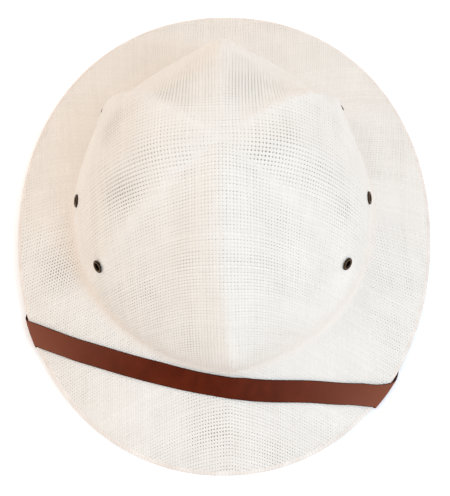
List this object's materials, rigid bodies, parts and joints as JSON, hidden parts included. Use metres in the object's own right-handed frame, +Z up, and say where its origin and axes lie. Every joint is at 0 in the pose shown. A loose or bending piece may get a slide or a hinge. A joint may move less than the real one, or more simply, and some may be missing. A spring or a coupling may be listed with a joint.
{
  "type": "pith helmet",
  "caption": "Straw sun helmet with a ridged crown, a sloping brim all round, vent eyelets and a leather strap over the front of the brim.",
  "frame": {"origin": "under the middle of the brim, on the surface that the helmet rests on", "axes": "+Z up, the front of the helmet towards -Y and its wearer's left towards +X"},
  "size_m": [0.2846, 0.3484, 0.1538],
  "materials": {
    "straw": "woven paper straw, pressed and matt, cream",
    "leather": "smooth reddish brown with dark painted edges",
    "brass": "antique brass, dark and satin"
  },
  "bodies": {
    "root": {"helmet_shell": "straw", "strap": "leather", "eyelet_left_front": "brass", "eyelet_left_mid": "brass", "eyelet_left_rear": "brass", "eyelet_right_front": "brass", "eyelet_right_mid": "brass", "eyelet_right_rear": "brass"}
  },
  "joints": []
}
